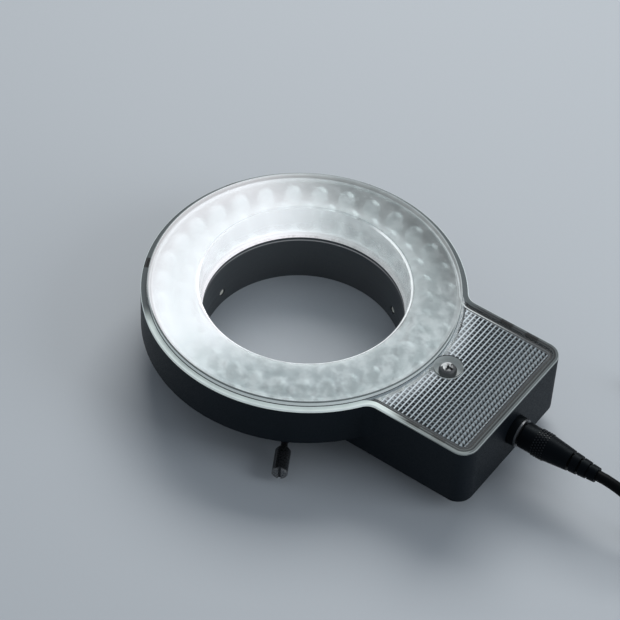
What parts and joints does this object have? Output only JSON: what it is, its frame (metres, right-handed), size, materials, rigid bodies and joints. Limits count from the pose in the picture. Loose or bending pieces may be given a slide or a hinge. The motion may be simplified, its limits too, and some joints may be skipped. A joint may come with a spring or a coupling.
{
  "type": "microscope ring light",
  "caption": "Ring light that clamps round a microscope with thumbscrews, with lamps under a clear cover, a driver box, a barrel plug and a coiled low voltage lead.",
  "frame": {"origin": "on the ring axis, in the plane of the mounting collar's lower edge, on which the light stands", "axes": "+Z along the ring axis, the way the light shines; +X towards the box and its power socket"},
  "size_m": [0.2489, 0.1043, 0.0295],
  "materials": {
    "housing": "satin black moulding",
    "collar": "black anodised, turned",
    "cover": "clear moulding, frosted over the lamps",
    "steel": "zinc plated",
    "nickel": "bright nickel plate",
    "brass": "machined",
    "lamp_board": "white solder resist",
    "lamp_dark": "water clear lens, not lit",
    "lamp_lit": "water clear lens, lit",
    "chip": "moulded",
    "connector": "natural nylon",
    "wire": "insulated wire",
    "driver_board": "green solder resist",
    "ferrite": "bare core",
    "capacitor": "sleeved can",
    "socket": "moulded",
    "thumbscrew": "black oxide, bare end",
    "tip": "natural nylon",
    "plug": "moulded, fine grip texture",
    "lead": "soft sheath",
    "tie": "woven strap"
  },
  "bodies": {
    "lamp": {"housing": "housing", "mounting_collar": "collar", "collar_screws": "steel", "cover": "cover", "cover_screw": "nickel", "cover_insert": "brass", "lamp_board": "lamp_board", "lamp_segment_1": "lamp_dark", "lamp_segment_2": "lamp_lit", "lamp_segment_3": "lamp_lit", "lamp_segment_4": "lamp_dark", "lamp_board_screws": "steel", "lamp_resistors": "chip", "lamp_connector": "connector", "lamp_harness": "wire", "driver_board": "driver_board", "driver_board_screws": "steel", "driver_header": "connector", "driver_inductor": "ferrite", "driver_capacitors": "capacitor", "driver_chips": "chip", "dc_socket": "socket", "socket_bezel": "nickel", "socket_pin": "nickel"},
    "pad_1": {"thumbscrew_tip_1": "tip"},
    "screw_1": {"thumbscrew_1": "thumbscrew"},
    "pad_2": {"thumbscrew_tip_2": "tip"},
    "screw_2": {"thumbscrew_2": "thumbscrew"},
    "pad_3": {"thumbscrew_tip_3": "tip"},
    "screw_3": {"thumbscrew_3": "thumbscrew"},
    "power_lead": {"plug_body": "plug", "plug_barrel": "nickel", "lead_cable": "lead", "lead_coil": "lead", "lead_tail": "lead", "coil_tie": "tie", "far_plug_body": "plug", "far_plug_barrel": "nickel"}
  },
  "joints": [
    {"name": "screw_1_travel", "type": "slide", "parent": "lamp", "child": "pad_1", "axis": [-0.5, -0.866, 0], "range_m": [-0.0009, 0.0072]},
    {"name": "screw_1_turn", "type": "hinge", "parent": "pad_1", "child": "screw_1", "pos_m": [0.025, 0.0433, 0.0046], "axis": [-0.5, -0.866, 0], "range_deg": [-722, 5764]},
    {"name": "screw_2_travel", "type": "slide", "parent": "lamp", "child": "pad_2", "axis": [1, 0, 0], "range_m": [-0.0009, 0.0072]},
    {"name": "screw_2_turn", "type": "hinge", "parent": "pad_2", "child": "screw_2", "pos_m": [-0.05, 0, 0.0046], "axis": [1, 0, 0], "range_deg": [-722, 5764]},
    {"name": "screw_3_travel", "type": "slide", "parent": "lamp", "child": "pad_3", "axis": [-0.4848, 0.8746, 0], "range_m": [-0.0009, 0.0072]},
    {"name": "screw_3_turn", "type": "hinge", "parent": "pad_3", "child": "screw_3", "pos_m": [0.02424, -0.04373, 0.0046], "axis": [-0.4848, 0.8746, 0], "range_deg": [-722, 5764]},
    {"name": "plug_pull", "type": "slide", "parent": "lamp", "child": "power_lead", "axis": [1, 0, 0], "range_m": [0, 0.012]}
  ],
  "couplings": [
    {"joint": "screw_1_turn", "follows": "screw_1_travel", "rad_per_m": 13963},
    {"joint": "screw_2_turn", "follows": "screw_2_travel", "rad_per_m": 13963},
    {"joint": "screw_3_turn", "follows": "screw_3_travel", "rad_per_m": 13963}
  ]
}
